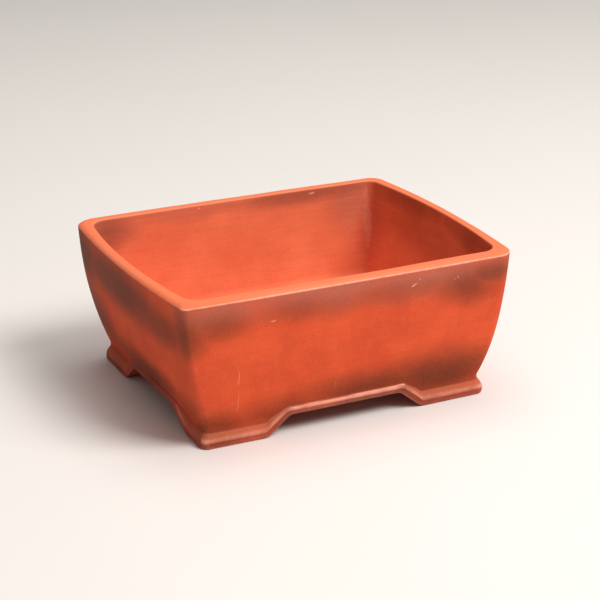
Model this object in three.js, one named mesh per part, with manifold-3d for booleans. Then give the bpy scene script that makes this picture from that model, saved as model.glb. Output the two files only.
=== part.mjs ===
// Unglazed red-clay bonsai pot: a rectangular, slab-built container with bellied walls, a flat
// rim, and a skirt of four bracket feet joined by four apron strips.
// Millimetres, +Z up, origin under the centre of the pot on the plane of the soles.
// X runs along the long side, and -Y is the front.
import * as THREE from "three";
import { mergeVertices } from "three/addons/utils/BufferGeometryUtils.js";
import Module from "manifold-3d";

const wasm = await Module();
wasm.setup();
const { Manifold } = wasm;

// ---- driving dimensions ----
const HEIGHT = 127;               // sole to rim
const RIM_HALF_LENGTH = 148.2;    // centre to the corner, before the short sides bow out
const RIM_HALF_WIDTH = 119.3;     // centre to the corner, before the long sides bow out
const END_BOW_RIM = 7.4;          // bow of the short sides in plan, at the rim
const END_BOW_BASE = 1.9;         // and at the bottom of the wall
const SIDE_BOW = 1.5;             // bow of the long sides in plan
const WALL = 11;                  // slab thickness, measured level
const END_HOLLOW = 1.6;           // how much thinner the short sides are in their middle
const BODY_UNDERSIDE = 26;        // height of the underside of the walls and the base slab
const FLOOR = 36;                 // height of the upper face of the base slab
const RIM_OUTER_ROUND = 2.4;      // radius of the rim's outer arris
const RIM_INNER_ROUND = 1.4;      // radius of the rim's inner arris
const CORNER_RIM = 13;            // outer corner radius in plan, at the rim
const CORNER_BASE = 6;            // and at the bottom of the wall
const CORNER_SLAB = 1.5;          // inner corner radius of the bare slabs
const CORNER_FINISHED = 12;       // inner corner radius once the coils are in
const FLOOR_FILLET = 9;           // radius of the hollow along the foot of the inner wall
const SEAM = 0.3;                 // joint gap between pieces that meet on a curved or slanted face

const LEAN_END = 16;              // height where the leaning wall face turns upright
const BAND_PROJECTION = 4;        // how far the moulding stands out from the upright wall face
const SKIRT_DEPTH = 13;           // thickness of the skirt behind that face
const SKIRT_CORNER = 4;           // inner corner radius of a foot
const ARCH_HEIGHT = 16.4;         // sole to the underside of an apron strip
const FOOT_FACE = 6.8;            // upright face of the moulding on a foot
const FOOT_SLOPE = 5.8;           // height of its sloping top on a foot
const APRON_FACE = 5.7;           // upright face of the moulding on an apron strip
const APRON_SLOPE = 1.9;          // height of its sloping top on an apron strip

const DRAIN_RADIUS = 11;
const DRAIN_SPACING = 130;        // between the centres of the two drainage holes

// How the wall face leans in with depth s below the rim (0 at the rim, 1 at the bottom of the wall
// slabs, and on down the skirt to LEAN_END): lean * s + belly * s^2 + tuck * s^3.
const END_PROFILE = { lean: 4.8, belly: 11.1, tuck: 2.7 };
const SIDE_PROFILE = { lean: 8.6, belly: -8.6, tuck: 10.8 };

// Bracket outline of each side of the skirt. The apron ends at `apron`, the foot's flat sole
// starts at `sole`, and the soft values are the rounded shares of the curve between them.
const FRONT_LEFT_CURVE = { apron: -50, sole: -77, softFoot: 0.25, softApron: 0.25 };
const FRONT_RIGHT_CURVE = { apron: 44, sole: 71, softFoot: 0.25, softApron: 0.25 };
const END_FRONT_CURVE = { apron: -46, sole: -88, softFoot: 0.7, softApron: 0.15 };
const END_BACK_CURVE = { apron: 33, sole: 58, softFoot: 0.25, softApron: 0.25 };

// Number of straight pieces that stand for each curve.
const END_STEPS = 5;
const CORNER_STEPS = 6;
const SIDE_STEPS = 5;
const HEIGHT_STEPS = 8;
const ROUND_STEPS = 3;
const LEAN_STEPS = 3;
const CURVE_STEPS = 8;
const DRAIN_STEPS = 32;

const CLAY = { color: 0xc8583a, roughness: 0.82, metalness: 0 };
const CLAY_SKIRT = { color: 0xb25540, roughness: 0.84, metalness: 0 };
const CLAY_INSIDE = { color: 0xd8603f, roughness: 0.85, metalness: 0 };

// ---- plan outlines ----

// Half size and bow of the outer face at height z. Below LEAN_END the face is upright.
function wallPlan(z) {
  const depth = Math.max(HEIGHT - Math.max(z, LEAN_END), 0);
  const s = depth / (HEIGHT - BODY_UNDERSIDE);
  const inset = (profile) => profile.lean * s + profile.belly * s ** 2 + profile.tuck * s ** 3;
  return {
    halfX: RIM_HALF_LENGTH - inset(END_PROFILE),
    halfY: RIM_HALF_WIDTH - inset(SIDE_PROFILE),
    bowX: END_BOW_RIM + (END_BOW_BASE - END_BOW_RIM) * s,
    bowY: SIDE_BOW,
    radius: CORNER_RIM + (CORNER_BASE - CORNER_RIM) * s,
  };
}

// The same plan moved level by `offset` (outwards is positive) with a corner radius of its own.
function movedPlan(plan, offset, radius) {
  return { ...plan, halfX: plan.halfX + offset, halfY: plan.halfY + offset, radius };
}

// Plan of the inner faces at height z, `offset` from the outer ones.
function innerPlan(z, offset, radius) {
  const plan = movedPlan(wallPlan(z), offset, radius);
  return { ...plan, bowX: plan.bowX + END_HOLLOW };
}

// Distance out to the bowed short side at y, and to the bowed long side at x.
const endX = (plan, y) => plan.halfX + plan.bowX * (1 - (y / plan.halfY) ** 2);
const sideY = (plan, x) => plan.halfY + plan.bowY * (1 - (x / plan.halfX) ** 2);

// The rounded corner in the +X +Y quarter: where its arc touches both bowed sides.
function cornerArc(plan) {
  const endNormal = (y) => new THREE.Vector2(1, (2 * plan.bowX * y) / plan.halfY ** 2).normalize();
  const sideNormal = (x) => new THREE.Vector2((2 * plan.bowY * x) / plan.halfX ** 2, 1).normalize();
  let touchX = plan.halfX - plan.radius;
  let touchY = plan.halfY - plan.radius;
  for (let pass = 0; pass < 30; pass += 1) {
    const onEnd = endNormal(touchY);
    const onSide = sideNormal(touchX);
    touchY = sideY(plan, touchX) - plan.radius * onSide.y + plan.radius * onEnd.y;
    touchX = endX(plan, touchY) - plan.radius * onEnd.x + plan.radius * onSide.x;
  }
  const normal = endNormal(touchY);
  return {
    touchX,
    touchY,
    centre: new THREE.Vector2(endX(plan, touchY), touchY).addScaledVector(normal, -plan.radius),
    startAngle: normal.angle(),
    endAngle: sideNormal(touchX).angle(),
  };
}

function arcPoint(plan, arc, share) {
  const angle = arc.startAngle + (arc.endAngle - arc.startAngle) * share;
  return new THREE.Vector2(
    arc.centre.x + plan.radius * Math.cos(angle),
    arc.centre.y + plan.radius * Math.sin(angle),
  );
}

// Quarter outline from the middle of the short side round the corner to the middle of the long one.
function quarterOutline(plan) {
  const arc = cornerArc(plan);
  const points = [];
  for (let i = 0; i < END_STEPS; i += 1) {
    const y = (arc.touchY * i) / END_STEPS;
    points.push(new THREE.Vector2(endX(plan, y), y));
  }
  for (let i = 0; i <= CORNER_STEPS; i += 1) {
    points.push(arcPoint(plan, arc, i / CORNER_STEPS));
  }
  for (let i = SIDE_STEPS - 1; i >= 0; i -= 1) {
    const x = (arc.touchX * i) / SIDE_STEPS;
    points.push(new THREE.Vector2(x, sideY(plan, x)));
  }
  return points;
}

// Whole outline, anticlockwise seen from above.
function outline(plan) {
  const quarter = quarterOutline(plan);
  const half = quarter.concat(quarter.slice(0, -1).reverse().map((p) => new THREE.Vector2(-p.x, p.y)));
  return half.concat(half.slice(1, -1).reverse().map((p) => new THREE.Vector2(p.x, -p.y)));
}

// ---- closed solids ----

function geometryOf(points, triangles) {
  const geometry = new THREE.BufferGeometry();
  const numbers = points.flatMap((p) => [p.x, p.y, p.z]);
  geometry.setAttribute("position", new THREE.Float32BufferAttribute(numbers, 3));
  geometry.setIndex(triangles);
  return geometry;
}

// Triangles between neighbouring rings of points, each ring closed on itself.
function skinTriangles(ringCount, ringLength) {
  const triangles = [];
  for (let ring = 0; ring + 1 < ringCount; ring += 1) {
    for (let i = 0; i < ringLength; i += 1) {
      const next = (i + 1) % ringLength;
      const a = ring * ringLength + i;
      const b = ring * ringLength + next;
      triangles.push(a, b, b + ringLength, a, b + ringLength, a + ringLength);
    }
  }
  return triangles;
}

// A stack of level outlines, from the lowest to the highest, closed at both ends.
function stack(levels) {
  const rings = levels.map(({ z, plan }) => outline(plan).map((p) => new THREE.Vector3(p.x, p.y, z)));
  const length = rings[0].length;
  const triangles = skinTriangles(rings.length, length);
  const cap = THREE.ShapeUtils.triangulateShape(rings[0].map((p) => new THREE.Vector2(p.x, p.y)), []);
  const top = (rings.length - 1) * length;
  for (const [a, b, c] of cap) {
    triangles.push(a, c, b);
  }
  const topCap = THREE.ShapeUtils.triangulateShape(rings.at(-1).map((p) => new THREE.Vector2(p.x, p.y)), []);
  for (const [a, b, c] of topCap) {
    triangles.push(top + a, top + b, top + c);
  }
  return geometryOf(rings.flat(), triangles);
}

// ---- booleans ----

function toManifold(geometry) {
  const bare = geometry.clone();
  bare.deleteAttribute("normal");
  bare.deleteAttribute("uv");
  const merged = mergeVertices(bare, 1e-5);
  const mesh = new wasm.Mesh({
    numProp: 3,
    vertProperties: new Float32Array(merged.attributes.position.array),
    triVerts: new Uint32Array(merged.index.array),
  });
  return new Manifold(mesh);
}

function toGeometry(manifold) {
  const mesh = manifold.getMesh();
  const geometry = new THREE.BufferGeometry();
  geometry.setAttribute("position", new THREE.Float32BufferAttribute(mesh.vertProperties, 3));
  geometry.setIndex(Array.from(mesh.triVerts));
  return geometry;
}

// An upright prism over a polygon, tall enough to cut the whole pot.
function prism(points) {
  const shape = new THREE.Shape(points.map(([x, y]) => new THREE.Vector2(x, y)));
  const depth = HEIGHT + 20;
  const geometry = new THREE.ExtrudeGeometry(shape, { depth, bevelEnabled: false });
  geometry.translate(0, 0, -10);
  return toManifold(geometry);
}

// Mitre line of each corner: from the rim's outer corner to the wall's inner corner at the base.
const MITRE_OUTER = new THREE.Vector2(RIM_HALF_LENGTH, RIM_HALF_WIDTH);
const baseCorner = movedPlan(wallPlan(BODY_UNDERSIDE), -WALL, 0);
const MITRE_INNER = new THREE.Vector2(baseCorner.halfX, baseCorner.halfY);

function mitreX(y) {
  const along = (y - MITRE_INNER.y) / (MITRE_OUTER.y - MITRE_INNER.y);
  return MITRE_INNER.x + (MITRE_OUTER.x - MITRE_INNER.x) * along;
}

// The share of the plan that belongs to one side: front, back, left or right.
function sector(side) {
  const near = MITRE_INNER.y - 25;
  const far = RIM_HALF_WIDTH + 12;
  const half = SEAM / 2;
  if (side === "front" || side === "back") {
    const toward = side === "front" ? -1 : 1;
    const quad = [
      [-mitreX(near) + half, near * toward],
      [mitreX(near) - half, near * toward],
      [mitreX(far) - half, far * toward],
      [-mitreX(far) + half, far * toward],
    ];
    return prism(toward > 0 ? quad : quad.reverse());
  }
  const toward = side === "left" ? -1 : 1;
  const quad = [
    [(mitreX(near) + half) * toward, -near],
    [(mitreX(far) + half) * toward, -far],
    [(mitreX(far) + half) * toward, far],
    [(mitreX(near) + half) * toward, near],
  ];
  return prism(toward > 0 ? quad : quad.reverse());
}

// ---- faces of the body ----

// Outer face of the walls with its rounded rim arris.
function outerLevels() {
  const levels = [];
  const shoulder = HEIGHT - RIM_OUTER_ROUND;
  for (let i = 0; i <= HEIGHT_STEPS; i += 1) {
    const z = BODY_UNDERSIDE + ((shoulder - BODY_UNDERSIDE) * i) / HEIGHT_STEPS;
    levels.push({ z, plan: wallPlan(z) });
  }
  for (let i = 1; i <= ROUND_STEPS; i += 1) {
    const angle = ((Math.PI / 2) * i) / ROUND_STEPS;
    const z = shoulder + RIM_OUTER_ROUND * Math.sin(angle);
    const inset = RIM_OUTER_ROUND * (1 - Math.cos(angle));
    const plan = wallPlan(z);
    levels.push({ z, plan: movedPlan(plan, -inset, plan.radius) });
  }
  return levels;
}

// Inner face with its rounded rim arris, running past the rim. `clearance` moves it inwards.
function innerLevels(bottom, radius, clearance) {
  const levels = [];
  const shoulder = HEIGHT - RIM_INNER_ROUND;
  for (let i = 0; i <= HEIGHT_STEPS; i += 1) {
    const z = bottom + ((shoulder - bottom) * i) / HEIGHT_STEPS;
    levels.push({ z, plan: innerPlan(z, -WALL - clearance, radius) });
  }
  for (let i = 1; i <= ROUND_STEPS; i += 1) {
    const angle = ((Math.PI / 2) * i) / ROUND_STEPS;
    const z = shoulder + RIM_INNER_ROUND * Math.sin(angle);
    const flare = RIM_INNER_ROUND * (1 - Math.cos(angle));
    levels.push({ z, plan: innerPlan(z, flare - WALL - clearance, radius) });
  }
  const brim = levels.at(-1);
  levels.push({ z: HEIGHT + 5, plan: brim.plan });
  return levels;
}

// Everything between two heights.
function between(low, high) {
  const size = 2 * RIM_HALF_LENGTH + 60;
  const geometry = new THREE.BoxGeometry(size, size, high - low);
  geometry.translate(0, 0, (low + high) / 2);
  return toManifold(geometry);
}

function wallShell() {
  const outside = toManifold(stack(outerLevels()));
  const cavity = toManifold(stack(innerLevels(BODY_UNDERSIDE - 5, CORNER_SLAB, 0)));
  return outside.subtract(cavity);
}

function baseSlab() {
  const plug = toManifold(stack(innerLevels(BODY_UNDERSIDE - 5, CORNER_SLAB, SEAM)));
  let slab = plug.intersect(between(BODY_UNDERSIDE, FLOOR));
  for (const side of [-1, 1]) {
    const drain = new THREE.CylinderGeometry(DRAIN_RADIUS, DRAIN_RADIUS, 40, DRAIN_STEPS);
    drain.rotateX(Math.PI / 2);
    drain.translate((side * DRAIN_SPACING) / 2, 0, FLOOR);
    slab = slab.subtract(toManifold(drain));
  }
  return slab;
}

// Clay pressed into the four upright inner corners.
function cornerCoils() {
  const bare = toManifold(stack(innerLevels(FLOOR, CORNER_SLAB, SEAM)));
  const finished = toManifold(stack(innerLevels(FLOOR - 5, CORNER_FINISHED, 0)));
  return bare.subtract(finished).intersect(between(FLOOR, HEIGHT));
}

// Clay pressed along the foot of the inner walls, hollowed to a quarter round.
function floorCoils() {
  const outside = toManifold(stack(innerLevels(FLOOR - 5, CORNER_FINISHED, SEAM)));
  const ring = outside.intersect(between(FLOOR, FLOOR + FLOOR_FILLET));
  const levels = [];
  for (let i = 0; i <= 2 * ROUND_STEPS; i += 1) {
    const angle = ((Math.PI / 2) * i) / (2 * ROUND_STEPS);
    const z = FLOOR + FLOOR_FILLET * (1 - Math.cos(angle));
    const inset = WALL + FLOOR_FILLET * (1 - Math.sin(angle));
    levels.push({ z, plan: innerPlan(z, -inset, CORNER_FINISHED) });
  }
  const lowest = { z: FLOOR - 5, plan: levels[0].plan };
  const highest = { z: FLOOR + FLOOR_FILLET + 5, plan: levels.at(-1).plan };
  return ring.subtract(toManifold(stack([lowest, ...levels, highest])));
}

// ---- skirt ----

// Rise of the bracket curve from the sole (share 0) to the apron (share 1), with its steepness.
function bracketRise(curve, share) {
  const steep = 1 / (1 - (curve.softFoot + curve.softApron) / 2);
  if (share < curve.softFoot) {
    const height = (steep * share ** 2) / (2 * curve.softFoot);
    return { height, steepness: (steep * share) / curve.softFoot };
  }
  if (share > 1 - curve.softApron) {
    const rest = 1 - share;
    const height = 1 - (steep * rest ** 2) / (2 * curve.softApron);
    return { height, steepness: (steep * rest) / curve.softApron };
  }
  return { height: steep * (share - curve.softFoot / 2), steepness: steep };
}

// Heights of the moulding's lower edge, arris and upper edge at a share of the bracket curve.
function mouldingHeights(curve, share) {
  const { height, steepness } = bracketRise(curve, share);
  const slope = (ARCH_HEIGHT * steepness) / Math.abs(curve.sole - curve.apron);
  const lower = ARCH_HEIGHT * height;
  const face = FOOT_FACE + (APRON_FACE - FOOT_FACE) * share;
  const sloping = FOOT_SLOPE + (APRON_SLOPE - FOOT_SLOPE) * share;
  const arris = lower + face * Math.sqrt(1 + slope ** 2);
  return { lower, arris, upper: Math.min(arris + sloping, BODY_UNDERSIDE - 1) };
}

const skirtFace = wallPlan(LEAN_END);
const skirtBand = movedPlan(skirtFace, BAND_PROJECTION, skirtFace.radius + BAND_PROJECTION);
const skirtInner = movedPlan(skirtFace, -SKIRT_DEPTH, SKIRT_CORNER);

// One cross-section of the skirt. `at` gives the section's point on a plan outline.
function skirtSection(at, heights) {
  const point = (plan, z) => new THREE.Vector3(at(plan).x, at(plan).y, z);
  const face = [];
  for (let i = 0; i <= LEAN_STEPS; i += 1) {
    const z = BODY_UNDERSIDE + ((heights.upper - BODY_UNDERSIDE) * i) / LEAN_STEPS;
    face.push(point(wallPlan(z), z));
  }
  return [
    point(skirtInner, heights.lower),
    point(skirtInner, BODY_UNDERSIDE),
    ...face,
    point(skirtBand, heights.arris),
    point(skirtBand, heights.lower),
  ];
}

// Closes a row of cross-sections into a solid. Every section has the same order of points.
function sweepSections(sections) {
  const length = sections[0].length;
  const triangles = skinTriangles(sections.length, length);
  const last = (sections.length - 1) * length;
  // Every point of the section can be seen from its first one, so a fan fills it.
  for (let i = 1; i + 1 < length; i += 1) {
    triangles.push(0, i + 1, i);
    triangles.push(last, last + i, last + i + 1);
  }
  return geometryOf(sections.flat(), triangles);
}

// A section on a long side at x, or on a short side at y, in the +X +Y quarter.
function sideSection(x, heights) {
  return skirtSection((plan) => new THREE.Vector2(x, sideY(plan, x)), heights);
}

function endSection(y, heights) {
  return skirtSection((plan) => new THREE.Vector2(endX(plan, y), y), heights);
}

// An L-shaped foot in the +X +Y quarter: along the short side, round the corner, along the long one.
function footGeometry(endCurve, sideCurve) {
  const sections = [];
  const onSole = mouldingHeights(endCurve, 0);
  for (let i = 0; i <= CURVE_STEPS; i += 1) {
    const y = endCurve.apron + ((endCurve.sole - endCurve.apron) * i) / CURVE_STEPS;
    sections.push(endSection(y, mouldingHeights(endCurve, 1 - i / CURVE_STEPS)));
  }
  for (let i = 0; i <= CORNER_STEPS; i += 1) {
    sections.push(skirtSection((plan) => arcPoint(plan, cornerArc(plan), i / CORNER_STEPS), onSole));
  }
  for (let i = 0; i <= CURVE_STEPS; i += 1) {
    const x = sideCurve.sole + ((sideCurve.apron - sideCurve.sole) * i) / CURVE_STEPS;
    sections.push(sideSection(x, mouldingHeights(sideCurve, i / CURVE_STEPS)));
  }
  return sweepSections(sections);
}

// A straight apron strip between two feet, `from` to `to` along the side.
function apronGeometry(section, curve, from, to) {
  const heights = mouldingHeights(curve, 1);
  const sections = [];
  for (let i = 0; i <= SIDE_STEPS; i += 1) {
    sections.push(section(from + ((to - from) * i) / SIDE_STEPS, heights));
  }
  return sweepSections(sections);
}

// Mirrors a geometry across the X and Y planes as asked, keeping its faces turned outwards.
function mirrored(geometry, flipX, flipY) {
  const result = geometry.clone().scale(flipX ? -1 : 1, flipY ? -1 : 1, 1);
  if (flipX !== flipY) {
    const index = Array.from(result.index.array);
    for (let i = 0; i < index.length; i += 3) {
      [index[i + 1], index[i + 2]] = [index[i + 2], index[i + 1]];
    }
    result.setIndex(index);
  }
  return result;
}

// A bracket curve seen from the +X +Y quarter, where all its places are positive.
const inQuarter = (curve) => ({ ...curve, apron: Math.abs(curve.apron), sole: Math.abs(curve.sole) });

// ---- the pot ----

const pot = new THREE.Group();
pot.name = "bonsai_pot";

function addPiece(name, geometry, clay) {
  const faceted = geometry.toNonIndexed();
  faceted.computeVertexNormals();
  const mesh = new THREE.Mesh(faceted, new THREE.MeshStandardMaterial(clay));
  mesh.name = name;
  pot.add(mesh);
}

const SIDES = ["front", "back", "left", "right"];
const shell = wallShell();
const alongFloor = floorCoils();
for (const side of SIDES) {
  const share = sector(side);
  addPiece(`wall_${side}`, toGeometry(shell.intersect(share)), CLAY);
  addPiece(`floor_coil_${side}`, toGeometry(alongFloor.intersect(share)), CLAY_INSIDE);
}
addPiece("base_slab", toGeometry(baseSlab()), CLAY_INSIDE);

const inCorners = cornerCoils();
for (const flipX of [true, false]) {
  for (const flipY of [true, false]) {
    const corner = `${flipY ? "front" : "back"}_${flipX ? "left" : "right"}`;
    const signX = flipX ? -1 : 1;
    const signY = flipY ? -1 : 1;
    const reach = RIM_HALF_LENGTH + 20;
    const quarter = new THREE.BoxGeometry(reach, reach, HEIGHT + 40);
    quarter.translate((signX * reach) / 2, (signY * reach) / 2, HEIGHT / 2);
    addPiece(`corner_coil_${corner}`, toGeometry(inCorners.intersect(toManifold(quarter))), CLAY_INSIDE);

    const sideCurve = inQuarter(flipX ? FRONT_LEFT_CURVE : FRONT_RIGHT_CURVE);
    const endCurve = inQuarter(flipY ? END_FRONT_CURVE : END_BACK_CURVE);
    addPiece(`foot_${corner}`, mirrored(footGeometry(endCurve, sideCurve), flipX, flipY), CLAY_SKIRT);
  }
}

const sideEnds = [FRONT_RIGHT_CURVE.apron, FRONT_LEFT_CURVE.apron];
const sideApron = apronGeometry(sideSection, FRONT_LEFT_CURVE, ...sideEnds);
addPiece("apron_back", sideApron, CLAY_SKIRT);
addPiece("apron_front", mirrored(sideApron, false, true), CLAY_SKIRT);
const endEnds = [END_FRONT_CURVE.apron, END_BACK_CURVE.apron];
const endApron = apronGeometry(endSection, END_FRONT_CURVE, ...endEnds);
addPiece("apron_right", endApron, CLAY_SKIRT);
addPiece("apron_left", mirrored(endApron, true, false), CLAY_SKIRT);

export default pot;
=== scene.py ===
"""Looks of the bonsai pot: unglazed red stoneware built from slabs, coils and bracket feet.

Lengths are millimetres up to the point where a mesh is made, and metres from there on.
One skin runs from the inside of the skirt, under and up the outside, over the rim and down to
the floor. Each piece is a closed solid that takes its visible faces from that skin, so that the
joints between the pieces don't show.
"""
import math

import bpy
import numpy as np
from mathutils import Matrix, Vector, noise


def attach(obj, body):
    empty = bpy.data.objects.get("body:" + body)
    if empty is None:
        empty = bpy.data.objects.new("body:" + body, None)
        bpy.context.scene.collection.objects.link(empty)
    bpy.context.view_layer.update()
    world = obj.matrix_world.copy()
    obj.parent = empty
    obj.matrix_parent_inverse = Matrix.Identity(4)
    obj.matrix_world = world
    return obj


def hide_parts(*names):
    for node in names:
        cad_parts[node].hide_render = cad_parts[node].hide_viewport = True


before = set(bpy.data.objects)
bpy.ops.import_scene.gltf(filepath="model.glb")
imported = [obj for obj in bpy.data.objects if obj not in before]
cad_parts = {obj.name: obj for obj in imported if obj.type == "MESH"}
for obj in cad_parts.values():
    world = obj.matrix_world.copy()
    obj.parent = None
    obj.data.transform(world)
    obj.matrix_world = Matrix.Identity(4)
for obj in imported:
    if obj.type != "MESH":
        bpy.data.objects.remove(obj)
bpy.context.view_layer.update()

# ---- sizes of the pot, as in the CAD source ----
HEIGHT = 127.0
RIM_HALF_LENGTH = 148.2
RIM_HALF_WIDTH = 119.3
END_BOW_RIM = 7.4
END_BOW_BASE = 1.9
SIDE_BOW = 1.5
WALL = 11.0
END_HOLLOW = 1.6
BODY_UNDERSIDE = 26.0
FLOOR = 36.0
RIM_CROWN = 2.2                   # how far the rim's top falls off towards its outer arris
CROWN_WIDTH = 5.0
RIM_INNER_ROUND = 1.4
FLOOR_FILLET = 9.0
LEAN_END = 16.0
BAND_PROJECTION = 4.0
SKIRT_DEPTH = 13.0
ARCH_HEIGHT = 16.4
FOOT_FACE = 6.8
FOOT_SLOPE = 5.8
APRON_FACE = 5.7
APRON_SLOPE = 1.9
DRAIN_RADIUS = 11.0
DRAIN_SPACING = 130.0
END_PROFILE = (4.8, 11.1, 2.7)
SIDE_PROFILE = (8.6, -8.6, 10.8)

# Bracket curves: where the apron ends, where the sole starts, soft share at the foot and apron.
SIDE_LEFT = (50.0, 77.0, 0.25, 0.25)
SIDE_RIGHT = (44.0, 71.0, 0.25, 0.25)
END_FRONT = (46.0, 88.0, 0.7, 0.15)
END_BACK = (33.0, 58.0, 0.25, 0.25)

# ---- hand finishing: corner radii in the order front left, front right, back right, back left ----
RIM_CORNERS = np.array([6.0, 16.0, 14.0, 16.5])
BASE_CORNERS = np.array([5.5, 6.5, 6.0, 6.0])
BAND_CORNERS = np.array([6.0, 8.5, 9.8, 9.8])
SKIRT_CORNERS = np.array([4.0, 4.0, 4.0, 4.0])
INNER_CORNERS = np.array([14.0, 16.0, 9.0, 15.0])

COIL_TOP = HEIGHT - 3.0           # the corner coils stop under the rounded rim
SOFT_INNER_EDGE = 2.5             # rounding of the skirt's edges
SOFT_OUTER_EDGE = 2.2
SOFT_ARRIS = 2.2
SOFT_HOLLOW = 1.2                 # where the slope of the moulding meets the wall
SOFT_RIM_ARRIS = 0.8
ARRIS_ROOM = 1.4                  # from the rim's outer arris down to the next row
ARC_STEPS = 16                    # stations round each corner
SPACING = 2.2                     # between the stations of the skin along an apron
CURVE_SPACING = 1.3               # and along a bracket curve
FOOT_SPACING = 1.8                # and from there to the corner
WALL_PIVOT = 0.5                  # share of a side where the walls' stations begin to spread
LEVEL_ROWS = 20                   # rows of the outer face over which that pivot takes hold
STEP_ROWS = 5                     # from the moulding up to the body's underside
OUTER_ROWS = 45                   # from there up to the rim
ROUND_ROWS = 5                    # round the rim's inner edge
INNER_ROWS = 36                   # from the top of the corner coils down to the fillet
FILLET_ROWS = 9
CROWN_ROWS = (1.3, 1.8, 2.4, 3.1, 4.0, 5.0, 6.2, 7.4, 8.6)    # in from the rim's outer face

SEAM = 0.3                        # between the walls and the base slab, where its edge is
SEAM_REACH = 110.0                # this far from the middle
LIP_DEPTH = 3.0                   # how far down a drainage hole the clay looks as it does inside
FLOOR_STEPS = 24                  # from a drainage hole out to the edge of the slab
UNDERSIDE_STEPS = 10
MIDDLE_LINE_STEPS = 60

# ---- plan of the pot ----


def wall_plan(z):
    """Half sizes and bows of the outer face at height z."""
    depth = np.maximum(HEIGHT - np.maximum(z, LEAN_END), 0.0)
    s = depth / (HEIGHT - BODY_UNDERSIDE)
    inset_x, inset_y = (p[0] * s + p[1] * s**2 + p[2] * s**3 for p in (END_PROFILE, SIDE_PROFILE))
    bow_x = END_BOW_RIM + (END_BOW_BASE - END_BOW_RIM) * s
    return RIM_HALF_LENGTH - inset_x, RIM_HALF_WIDTH - inset_y, bow_x, SIDE_BOW


def corner_arc(z, offset, radius, hollow=0.0):
    """Touch points, centre and angles of the rounded corner in the +X +Y quarter."""
    half_x, half_y, bow_x, bow_y = wall_plan(z)
    bow_x = bow_x + hollow
    half_x = half_x + offset
    half_y = half_y + offset
    touch_x = half_x - radius
    touch_y = half_y - radius
    for _ in range(30):
        end_slope = 2 * bow_x * touch_y / half_y**2
        side_slope = 2 * bow_y * touch_x / half_x**2
        end_length = np.sqrt(1 + end_slope**2)
        side_length = np.sqrt(1 + side_slope**2)
        side_at = half_y + bow_y * (1 - (touch_x / half_x) ** 2)
        touch_y = side_at - radius / side_length + radius * end_slope / end_length
        end_at = half_x + bow_x * (1 - (touch_y / half_y) ** 2)
        touch_x = end_at - radius / end_length + radius * side_slope / side_length
    end_at = half_x + bow_x * (1 - (touch_y / half_y) ** 2)
    centre_x = end_at - radius / end_length
    centre_y = touch_y - radius * end_slope / end_length
    return {
        "half": (half_x, half_y), "bow": (bow_x, bow_y), "touch": (touch_x, touch_y),
        "centre": (centre_x, centre_y),
        "angles": (np.arctan2(end_slope, 1.0), np.arctan2(1.0, side_slope)),
    }


# ---- stations round the pot, anticlockwise from above, starting at the front left corner ----
SIDE, END, ARC = 0, 1, 2
CORNER_NAMES = ("front_left", "front_right", "back_right", "back_left")
SIGNS = np.array([(-1, -1), (1, -1), (1, 1), (-1, 1)], dtype=float)
SIDE_CURVES = (SIDE_LEFT, SIDE_RIGHT, SIDE_RIGHT, SIDE_LEFT)
END_CURVES = (END_FRONT, END_FRONT, END_BACK, END_BACK)
band_arc = corner_arc(LEAN_END, BAND_PROJECTION, BAND_CORNERS)


def spread(start, end, spacing):
    """Even places from start up to, but without, end."""
    count = max(int(round((end - start) / spacing)), 1)
    return [start + (end - start) * i / count for i in range(count)]


def half_places(curve, touch):
    """Places from the middle of a side out to its corner, closer together along the bracket curve."""
    apron_end, sole_start = curve[:2]
    places = spread(0, apron_end, SPACING)
    places += spread(apron_end, sole_start, CURVE_SPACING)
    return places + spread(sole_start, touch, FOOT_SPACING)


def make_stations():
    """All stations as (kind, corner, place), and the numbers of those where pieces begin and end.

    The place is the distance from the middle of a side or end, or the share of a corner's arc.
    """
    rows = []
    marks = {}

    def half(kind, corner, outward):
        curve = (SIDE_CURVES if kind == SIDE else END_CURVES)[corner]
        touch = band_arc["touch"][kind][corner]
        places = half_places(curve, touch)
        if not outward:
            places = places[1:] + [touch]
            places.reverse()
        for place in places:
            if abs(place - curve[0]) < 1e-9:
                marks[kind, corner] = len(rows)
            rows.append((kind, corner, place))

    def arc(corner, to_side):
        marks["touch", corner] = len(rows)
        for i in range(ARC_STEPS):
            share = i / ARC_STEPS
            rows.append((ARC, corner, share if to_side else 1 - share))
            if 2 * i == ARC_STEPS:
                marks["middle", corner] = len(rows) - 1

    half(SIDE, 0, False)
    half(SIDE, 1, True)
    arc(1, False)
    half(END, 1, False)
    half(END, 2, True)
    arc(2, True)
    half(SIDE, 2, False)
    half(SIDE, 3, True)
    arc(3, False)
    half(END, 3, False)
    half(END, 0, True)
    arc(0, True)
    return rows, marks


stations, marks = make_stations()
COUNT = len(stations)
kind_of = np.array([s[0] for s in stations])
corner_of = np.array([s[1] for s in stations])
place_of = np.array([s[2] for s in stations])
sign_of = SIGNS[corner_of]


def per_corner(table):
    return np.asarray(table, dtype=float)[corner_of]


sole_of = np.array([(SIDE_CURVES if k == SIDE else END_CURVES)[c][1] for k, c, _ in stations])
side_touch_of, end_touch_of = (touch[corner_of] for touch in band_arc["touch"])
band_touch_of = np.where(kind_of == SIDE, side_touch_of, end_touch_of)


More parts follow.
